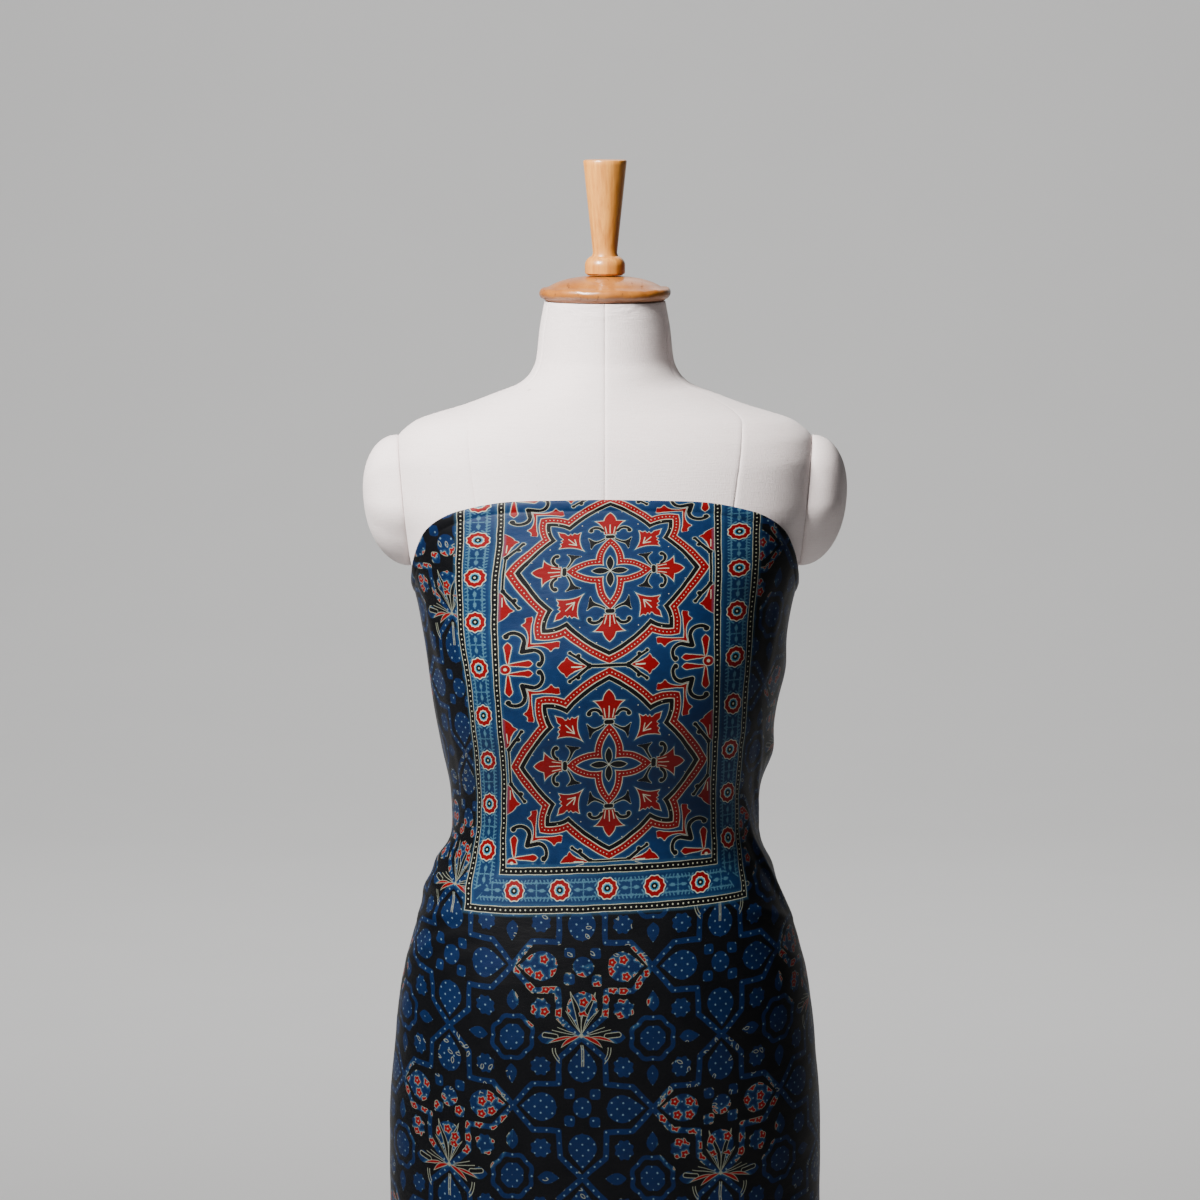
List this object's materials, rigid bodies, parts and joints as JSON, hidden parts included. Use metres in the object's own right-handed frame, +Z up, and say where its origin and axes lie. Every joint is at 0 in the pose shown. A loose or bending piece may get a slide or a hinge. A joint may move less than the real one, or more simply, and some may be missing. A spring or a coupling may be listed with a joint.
{
  "type": "ajrakh silk fabric draped on a dress form with a stand",
  "caption": "Block-printed silk length in blue, black and red, wrapped round a linen dress form that stands on a round wooden base.",
  "frame": {"origin": "centre of the underside of the stand's round base, on the floor", "axes": "+Z up along the pole, -Y towards the front of the form, +X to the viewer's right when facing the front"},
  "size_m": [0.4056, 0.4, 1.613],
  "materials": {
    "ajrakh_silk": "soft satin silk, block printed in blue, black, red and cream",
    "form_linen": "matt undyed linen, sewn in panels",
    "turned_wood": "turned and varnished"
  },
  "bodies": {
    "root": {"ajrakh_cloth": "ajrakh_silk", "form_torso": "form_linen", "arm_cap_left": "form_linen", "arm_cap_right": "form_linen", "neck_cap": "turned_wood", "neck_handle": "turned_wood", "stand_flange": "turned_wood", "stand_pole": "turned_wood", "stand_base": "turned_wood"}
  },
  "joints": []
}
